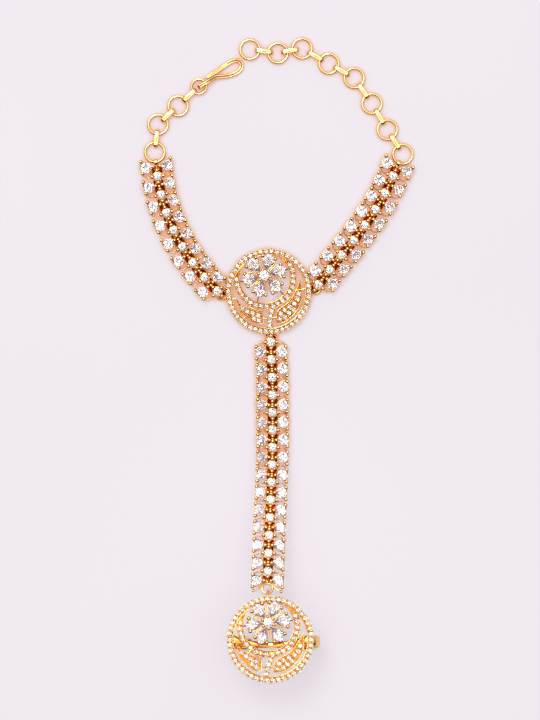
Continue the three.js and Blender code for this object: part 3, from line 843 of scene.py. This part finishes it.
def hook():
    """A doubled wire, bent round to a wide end, with its long loops over the clasp ring's wire."""
    course = spline(HOOK_COURSE, 6)
    ways = along(course, False)
    metal = Form()
    for hand in (1, -1):
        wire = []
        for i, (at, way) in enumerate(zip(course, ways)):
            share = i / (len(course) - 1)
            spread = min(0.27 + 0.07 * sin(pi * share), 0.12 + 1.6 * (1 - share))
            wire.append(at + Vector((0, 0, 1)).cross(way).normalized() * (hand * spread))
        metal.add(sweep(wire, oval(HOOK_WIRE, HOOK_WIRE, 12)))
        metal.add(ball(HOOK_WIRE / 2), Matrix.Translation(wire[-1]))
        loop = ribbon_loop(HOOK_LOOP["length"], HOOK_LOOP["height"], 0.36, 0.5)
        middle = HOOK_LOOP["reach"] - HOOK_LOOP["length"] / 2
        metal.add(loop, Matrix.Translation((middle, 0.28 * hand, 0)))
    web = sweep(course[len(course) * 3 // 4:], soft_box(0.6, -0.14, 0.16, 0.05))
    return metal.add(web)


# ---------------------------------------------------------------- materials

GOLD_TONES = (
    (0.3, (0.9, 0.57, 0.21, 1)), (0.55, (0.92, 0.62, 0.27, 1)), (0.75, (0.95, 0.67, 0.34, 1)),
)
# Painted shade: colours multiplied onto the gold by how enclosed it is, darker and redder in the recesses.
GOLD_PAINTED_SHADE = ((0.2, (0.6, 0.27, 0.06, 1)), (0.55, (0.78, 0.46, 0.2, 1)), (0.92, (1, 1, 1, 1)))
FLOOR_TONES = ((0.3, (0.196, 0.185, 0.196, 1)), (0.7, (0.202, 0.19, 0.202, 1)))
# Painted warm shade on the floor where the gold lies close, standing in for its shadow and the gold's bounce
# light.
FLOOR_PAINTED_WARM_SHADE = (0.207, 0.124, 0.093, 1)
FLOOR_GLOW = 3.0
STONE_INDEX = 2.05  # how strongly the stones bend light


def node(tree, kind, **inputs):
    made = tree.nodes.new(kind)
    for name, value in inputs.items():
        made.inputs[name.replace("_", " ")].default_value = value
    return made


def ramp(tree, source, rows):
    made = tree.nodes.new("ShaderNodeValToRGB")
    stops = made.color_ramp.elements
    stops[0].position, stops[0].color = rows[0]
    stops[1].position, stops[1].color = rows[-1]
    for position, colour in rows[1:-1]:
        stops.new(position).color = colour
    tree.links.new(source, made.inputs["Fac"])
    return made.outputs["Color"]


def noise(tree, scale, detail=2.0):
    where = tree.nodes.new("ShaderNodeTexCoord")
    made = node(tree, "ShaderNodeTexNoise", Scale=scale, Detail=detail)
    tree.links.new(where.outputs["Object"], made.inputs["Vector"])
    return made.outputs["Fac"]


def level(tree, source, low, high):
    """A 0 to 1 value spread between two numbers."""
    made = tree.nodes.new("ShaderNodeMapRange")
    made.inputs["To Min"].default_value = low
    made.inputs["To Max"].default_value = high
    tree.links.new(source, made.inputs["Value"])
    return made.outputs["Result"]


def multiplied(tree, one, other):
    made = node(tree, "ShaderNodeMixRGB", Fac=1.0)
    made.blend_type = "MULTIPLY"
    tree.links.new(one, made.inputs["Color1"])
    tree.links.new(other, made.inputs["Color2"])
    return made.outputs["Color"]


def new_material(name):
    made = bpy.data.materials.new(name)
    made.use_nodes = True
    return made, made.node_tree, made.node_tree.nodes["Principled BSDF"]


def gold_material():
    """Polished gold plating: slow shifts of tone, painted shade that makes it darker and redder in the
    recesses, and faint polishing haze.
    """
    made, tree, shader = new_material("polished_gold")
    shader.inputs["Metallic"].default_value = 1.0
    tone = ramp(tree, noise(tree, 260, 3), GOLD_TONES)
    # Painted shade: ambient occlusion picks out the recesses, and the gold there is made darker and redder.
    openness = node(tree, "ShaderNodeAmbientOcclusion", Distance=0.003)
    openness.samples = 8
    depth = ramp(tree, openness.outputs["AO"], GOLD_PAINTED_SHADE)
    tree.links.new(multiplied(tree, tone, depth), shader.inputs["Base Color"])
    tree.links.new(level(tree, noise(tree, 900, 4), 0.08, 0.16), shader.inputs["Roughness"])
    bump = node(tree, "ShaderNodeBump", Strength=0.05, Distance=0.00004)
    tree.links.new(noise(tree, 1400, 2), bump.inputs["Height"])
    tree.links.new(bump.outputs["Normal"], shader.inputs["Normal"])
    return made


def stone_material(name, tones, clear):
    """Cut stone, with a trace of tone from place to place and finely polished facets."""
    made, tree, shader = new_material(name)
    shader.inputs["Transmission Weight"].default_value = clear
    shader.inputs["IOR"].default_value = STONE_INDEX
    tone = ramp(tree, noise(tree, 160, 1), ((0.35, tones[0]), (0.65, tones[1])))
    tree.links.new(tone, shader.inputs["Base Color"])
    tree.links.new(level(tree, noise(tree, 700, 2), 0.0, 0.03), shader.inputs["Roughness"])
    return made


def floor_material():
    """A pale matt surface, faintly lit through from below; where the gold lies close it gets painted shade,
    warmed as if by light bounced off the gold.
    """
    made, tree, shader = new_material("pale_surface")
    tone = ramp(tree, noise(tree, 6, 2), FLOOR_TONES)
    # Painted warm shade: where the gold lies close, ambient occlusion blends in the warm tint.
    nearness = node(tree, "ShaderNodeAmbientOcclusion", Distance=0.0026)
    painted_warm_shade_mask = ramp(tree, nearness.outputs["AO"], ((0.45, (1, 1, 1, 1)), (0.87, (0, 0, 0, 1))))
    blend = node(tree, "ShaderNodeMixRGB", Color2=FLOOR_PAINTED_WARM_SHADE)
    tree.links.new(painted_warm_shade_mask, blend.inputs["Fac"])
    tree.links.new(tone, blend.inputs["Color1"])
    tree.links.new(blend.outputs["Color"], shader.inputs["Base Color"])
    # The glow takes the same colour, painted warm shade included.
    tree.links.new(blend.outputs["Color"], shader.inputs["Emission Color"])
    shader.inputs["Emission Strength"].default_value = FLOOR_GLOW
    shader.inputs["Roughness"].default_value = 0.65
    shader.inputs["Specular IOR Level"].default_value = 0.2
    return made


# ---------------------------------------------------------------- pieces

GOLD = gold_material()
STONE = stone_material("clear_stone", ((0.95, 0.935, 0.94, 1), (0.93, 0.935, 0.945, 1)), 0.97)
BLUSH_STONE = stone_material("blush_stone", ((0.95, 0.84, 0.84, 1), (0.89, 0.79, 0.8, 1)), 0.97)
PETAL_STONE = stone_material("pale_pink_stone", ((1.0, 0.88, 0.86, 1), (0.97, 0.86, 0.84, 1)), 0.9)
# The paved stones are as clear as the others; their grey tint is painted shade.
SHADED_PAVE_STONE = stone_material("pave_stone", ((0.52, 0.5, 0.49, 1), (0.44, 0.43, 0.43, 1)), 1.0)
SMOOTH_ANGLE = radians(38)

# The wrist medallion's centre in the row frame, from the flower's round stone.
low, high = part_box("wrist_centre_stone")
HOME = (low + high) / 2 / MM - Vector((FLOWER["x"], FLOWER["y"], 0))
HOME.z = 0


def new_object(name, data):
    made = bpy.data.objects.new(name, data)
    bpy.context.scene.collection.objects.link(made)
    return made


def make(name, form, material, replaced=(), place=None):
    """A piece in the row frame, from a form in the harness's frame."""
    to_row = Matrix.Scale(MM, 4) @ Matrix.Translation(HOME) @ (place or Matrix())
    mesh = bpy.data.meshes.new(name)
    mesh.from_pydata([to_row @ p for p in form.points], [], form.faces)
    mesh.materials.append(material)
    smooth = material is GOLD
    mesh.polygons.foreach_set("use_smooth", [smooth] * len(mesh.polygons))
    if smooth:
        mesh.set_sharp_from_angle(angle=SMOOTH_ANGLE)
    piece = new_object(name, mesh)
    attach(piece, "root")
    if replaced:
        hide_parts(*replaced)


def make_arm(side):
    arm = ARMS[side]
    metal = Form()
    rounds = Form()
    sides = Form()
    pitch = LINK_PITCH["arm"]
    places = link_places(arm["start"], arm["headings"], pitch)
    for i, (at, heading) in enumerate(places):
        link = started_link(side, i, at, heading, pitch)
        link.add(hinge_ahead(pitch) if i < len(places) - 1 else end_loop())
        metal.add(link, turned(at, heading))
        rounds.add(round_stone(ROUND), turned(at, heading))
        sides.add(side_stones(i), turned(at, heading))
    make(f"{side}_arm_settings", metal, GOLD, [f"{side}_arm_links"])
    make(f"{side}_arm_rounds", rounds, STONE)
    make(f"{side}_arm_sides", sides, BLUSH_STONE)
    return places[-1]


def lift_at(y):
    share = max(0.0, (STRAP["lift_from"] - y) / (STRAP["lift_from"] - STRAP["lift_to"]))
    return STRAP["lift"] * share ** 2


def make_strap():
    pitch = LINK_PITCH["strap"]
    places = link_places(STRAP["start"], STRAP["headings"], pitch)
    for i, (at, heading) in enumerate(places):
        link = started_link("strap", i, at, heading, pitch)
        if i < len(places) - 1:
            link.add(hinge_ahead(pitch))
        else:
            link.add(eye(STRAP["last_eye"], 0))
            link.add(bar(Vector((1.2, 0, 0)), Vector((3.3, 0, 0)), 0.9, 0.3, 1.1))
            for hand in (1, -1):
                brace = spline([(x, y * hand, 1.3) for x, y in BRACE], 5)
                link.add(sweep(brace, oval(0.44, 0.5)))
                link.add(bead(BRACE[0][0], BRACE[0][1] * hand, 1.3, 0.45))
        slope = atan2(lift_at(at.y - pitch / 2) - lift_at(at.y + pitch / 2), pitch)
        lifted = at + Vector((0, 0, lift_at(at.y)))
        place = turned(lifted, heading) @ Matrix.Rotation(-slope, 4, "Y")
        number = f"{i + 1:02d}"
        make(f"strap_setting_{number}", link, GOLD, [f"strap_link_{number}"], place)
        make(f"strap_round_{number}", round_stone(ROUND), STONE, (), place)
        make(f"strap_sides_{number}", side_stones(i), BLUSH_STONE, (), place)


def make_medallion(prefix, node_name, extra, place):
    metal, stones = medallion()
    for form, where in extra:
        metal.add(form, where)
    make(f"{prefix}_metal", metal, GOLD, [node_name], place)
    make(f"{prefix}_pave_stones", stones, SHADED_PAVE_STONE, (), place)
    flower_place = place @ Matrix.Translation((FLOWER["x"], FLOWER["y"], 0))
    for i in range(FLOWER["petals"]):
        at = flower_place @ turned(Vector(), FLOWER["first"] + PETAL_STEP * i)
        replaced = [f"{prefix}_petal_stone_{i + 1}"]
        make(f"{prefix}_petal_{i + 1}", petal_stone(), PETAL_STONE, replaced, at)
    replaced = [f"{prefix}_centre_stone"]
    make(f"{prefix}_round_stone", round_stone(CENTRE), STONE, replaced, flower_place)


def finger_place():
    """The finger ring's place: it leans back, as high as the CAD ring stands."""
    lean = radians(FINGER["lean"])
    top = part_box("finger_ring")[1].z / MM
    lift = top - RIM["outer"] * sin(-lean) - PLATE["top"] * cos(lean)
    at = Vector((FINGER["x"], FINGER["y"], lift))
    turn = Matrix.Rotation(radians(FINGER["turn"]), 4, "Z")
    return Matrix.Translation(at) @ Matrix.Rotation(lean, 4, "X") @ turn


def make_chain(side, end, heading):
    """The rings and connectors of one chain; returns where its last ring, or the clasp ring, lies."""
    radius = (CHAIN_RING["outer"] - CHAIN_RING["wire"]) / 2
    clasp_radius = (CLASP_RING["outer"] - CLASP_RING["wire"]) / 2
    at = end + polar(END_REACH + radius, heading)
    rows = CHAINS[side]
    lift = Vector((0, 0, RING_HEIGHT))
    make(f"{side}_ring_1", torus(**CHAIN_RING), GOLD, [f"{side}_chain_ring_1"], turned(at + lift))
    for i, (way, pitch) in enumerate(rows):
        clasp = side == "left" and i == len(rows) - 1
        far = pitch - (clasp_radius if clasp else radius)
        middle = at + polar((radius + far) / 2, way)
        name = f"{side}_connector_{i + 1}"
        make(f"{side}_ribbon_{i + 1}", connector(), GOLD, [name], turned(middle, way))
        at = at + polar(pitch, way)
        if not clasp:
            number = i + 2
            make(f"{side}_ring_{number}", torus(**CHAIN_RING), GOLD, [f"{side}_chain_ring_{number}"],
                 turned(at + lift))
    return at


def make_clasp(at):
    radius = (CLASP_RING["outer"] - CLASP_RING["wire"]) / 2
    tilt = asin(CLASP["rise"] / (2 * radius))
    lifted = at + Vector((0, 0, RING_HEIGHT + CLASP["rise"] / 2))
    place = turned(lifted, CLASP["direction"]) @ Matrix.Rotation(-tilt, 4, "Y")
    make("hook_ring", torus(**CLASP_RING), GOLD, ["clasp_ring"], place)
    hook_at = at + polar(radius, CLASP["direction"]) + Vector((0, 0, RING_HEIGHT + CLASP["rise"]))
    make("doubled_hook", hook(), GOLD, ["hook"], turned(hook_at, CLASP["hook_heading"]))


lugs = [(lug(name), Matrix()) for name in EYES]
make_medallion("wrist", "wrist_medallion", lugs, Matrix())
band_turn = Matrix.Rotation(-radians(FINGER["turn"]), 4, "Z")
make_medallion("finger", "finger_ring", [(band(), band_turn)], finger_place())
ends = {side: make_arm(side) for side in ARMS}
make_strap()
jump_at = Vector((JUMP_RING["x"], JUMP_RING["y"], JUMP_RING["z"]))
jump_place = Matrix.Translation(jump_at) @ Matrix.Rotation(pi / 2, 4, "Y")
jump = torus(JUMP_RING["outer"], JUMP_RING["wire"])
make("jump_ring", jump, GOLD, ["strap_jump_ring"], jump_place)
make_chain("right", *ends["right"])
make_clasp(make_chain("left", *ends["left"]))

# ---------------------------------------------------------------- floor, light and camera

FLOOR_SIZE = 4.0
FLOOR_DROP = 0.00002  # keeps the floor clear of the pieces that lie on it
DOME = 2.3  # the strength of the dome's light
DOME_TONES = (  # by height: 0 level, 1 overhead
    (0.0, (0.3, 0.29, 0.29, 1)), (0.6, (0.33, 0.32, 0.32, 1)), (0.77, (0.38, 0.37, 0.37, 1)),
    (0.86, (0.93, 0.92, 0.92, 1)), (0.984, (1.0, 0.99, 1.0, 1)), (0.993, (0.3, 0.28, 0.28, 1)),
)
SHADE = {"far": 0.8, "base": 0.8, "rise": 0.6}
SHADE_TONES = ((0.82, (0.03, 0.02, 0.015, 1)), (1.04, (1, 1, 1, 1)))
LAMP = {"at": (-0.25, 0.5, 1.2), "size": 0.5, "power": 8}
GAMMA = 0.88
LOOK_AT = Vector((-1.95, -0.62, 0)) * MM  # the middle of the view, beside the object's middle
CAMERA_HEIGHT = 0.9
VIEW_HEIGHT = 0.2016  # how much of the floor the picture's long side takes in
SENSOR = 36.0


def make_floor():
    half = FLOOR_SIZE / 2
    mesh = bpy.data.meshes.new("floor")
    corners = [(-half, -half, 0), (half, -half, 0), (half, half, 0), (-half, half, 0)]
    mesh.from_pydata(corners, [], [(0, 1, 2, 3)])
    mesh.materials.append(floor_material())
    floor = new_object("floor", mesh)
    floor.location.z = -FLOOR_DROP
    floor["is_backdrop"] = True


def make_lamp(name, at, size, power):
    """A soft square lamp that points at the object."""
    light = bpy.data.lights.new(name, "AREA")
    light.size = size
    light.energy = power
    lamp = new_object(name, light)
    lamp.location = at
    lamp.rotation_euler = (-Vector(at)).to_track_quat("-Z", "Y").to_euler()


def make_world():
    """A dome: dim low down, a wide bright ring high up, dim straight above, and dark on the near side."""
    world = bpy.data.worlds.new("room")
    bpy.context.scene.world = world
    world.use_nodes = True
    tree = world.node_tree
    background = tree.nodes["Background"]
    where = tree.nodes.new("ShaderNodeTexCoord")
    split = tree.nodes.new("ShaderNodeSeparateXYZ")
    tree.links.new(where.outputs["Generated"], split.inputs["Vector"])
    dome = ramp(tree, split.outputs["Z"], DOME_TONES)
    far = tree.nodes.new("ShaderNodeMath")
    far.operation = "MULTIPLY_ADD"
    far.inputs[1].default_value = SHADE["far"]
    far.inputs[2].default_value = SHADE["base"]
    tree.links.new(split.outputs["Y"], far.inputs[0])
    rise = tree.nodes.new("ShaderNodeMath")
    rise.operation = "MULTIPLY_ADD"
    rise.inputs[1].default_value = SHADE["rise"]
    tree.links.new(split.outputs["Z"], rise.inputs[0])
    tree.links.new(far.outputs["Value"], rise.inputs[2])
    shade = ramp(tree, rise.outputs["Value"], SHADE_TONES)
    tree.links.new(multiplied(tree, dome, shade), background.inputs["Color"])
    background.inputs["Strength"].default_value = DOME


def make_camera():
    data = bpy.data.cameras.new("camera")
    data.sensor_width = SENSOR
    data.lens = SENSOR * CAMERA_HEIGHT / VIEW_HEIGHT
    data.clip_end = 10
    camera = new_object("camera", data)
    camera.location = LOOK_AT + Vector((0, 0, CAMERA_HEIGHT))
    bpy.context.scene.camera = camera


make_floor()
make_world()
make_lamp("overhead", LAMP["at"], LAMP["size"], LAMP["power"])
make_camera()
bpy.context.scene.view_settings.view_transform = "Standard"
bpy.context.scene.view_settings.gamma = GAMMA

low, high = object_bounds()
